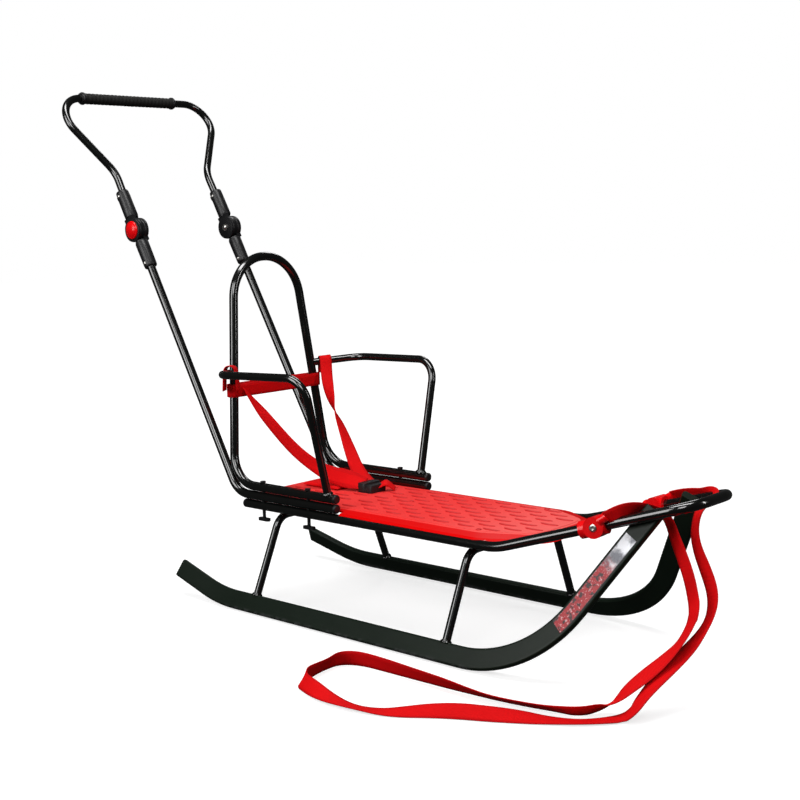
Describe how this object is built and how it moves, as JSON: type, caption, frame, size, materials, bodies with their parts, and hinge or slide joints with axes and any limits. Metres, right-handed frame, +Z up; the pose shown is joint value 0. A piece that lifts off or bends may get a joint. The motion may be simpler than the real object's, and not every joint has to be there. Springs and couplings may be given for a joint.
{
  "type": "snow sled",
  "caption": "Child's steel-tube snow sled with curved runners, moulded seat, backrest, armrests, harness, tow strap and a tilting push handle.",
  "frame": {"origin": "on the ground under the middle of the sled's length and width, the tow strap not counted", "axes": "+X forward to the nose, +Y to the rider's left, +Z up"},
  "size_m": [1.349, 0.6041, 0.9443],
  "materials": {
    "black_steel": "gloss black powder coat",
    "black_plastic": "fine-grained moulded black",
    "red_plastic": "satin moulded red",
    "grip_rubber": "ribbed soft black",
    "red_webbing": "woven red webbing",
    "zinc": "bright zinc"
  },
  "bodies": {
    "sled": {"seat_frame": "black_steel", "runner_left": "black_steel", "runner_right": "black_steel", "rear_leg_bow": "black_steel", "front_leg_bow": "black_steel", "backrest_hoop": "black_steel", "push_tube_left": "black_steel", "push_tube_right": "black_steel", "armrest_left": "black_steel", "armrest_right": "black_steel", "rail_end_plugs": "black_plastic", "push_tube_end_plugs": "black_plastic", "backrest_end_plugs": "black_plastic", "clamp_screws": "black_plastic", "knuckle_lower_left": "black_plastic", "knuckle_lower_right": "black_plastic", "harness_buckle": "black_plastic", "seat_pan": "red_plastic", "tow_clip_left": "red_plastic", "tow_clip_right": "red_plastic", "hinge_button_left": "red_plastic", "harness_band": "red_webbing", "harness_strap_left": "red_webbing", "harness_strap_right": "red_webbing", "harness_pad": "red_webbing", "tow_strap": "red_webbing", "hinge_pin_left": "zinc", "hinge_pin_right": "zinc", "tow_clip_rivet_left": "zinc", "tow_clip_rivet_right": "zinc"},
    "push_handle": {"push_handle_hoop": "black_steel", "push_grip": "grip_rubber", "knuckle_upper_left": "black_plastic", "knuckle_upper_right": "black_plastic", "hinge_button_right": "red_plastic"}
  },
  "joints": [
    {"name": "handle_tilt", "type": "hinge", "parent": "sled", "child": "push_handle", "pos_m": [-0.5098, 0, 0.6765], "axis": [0, 1, 0], "range_deg": [-60, 100]}
  ]
}
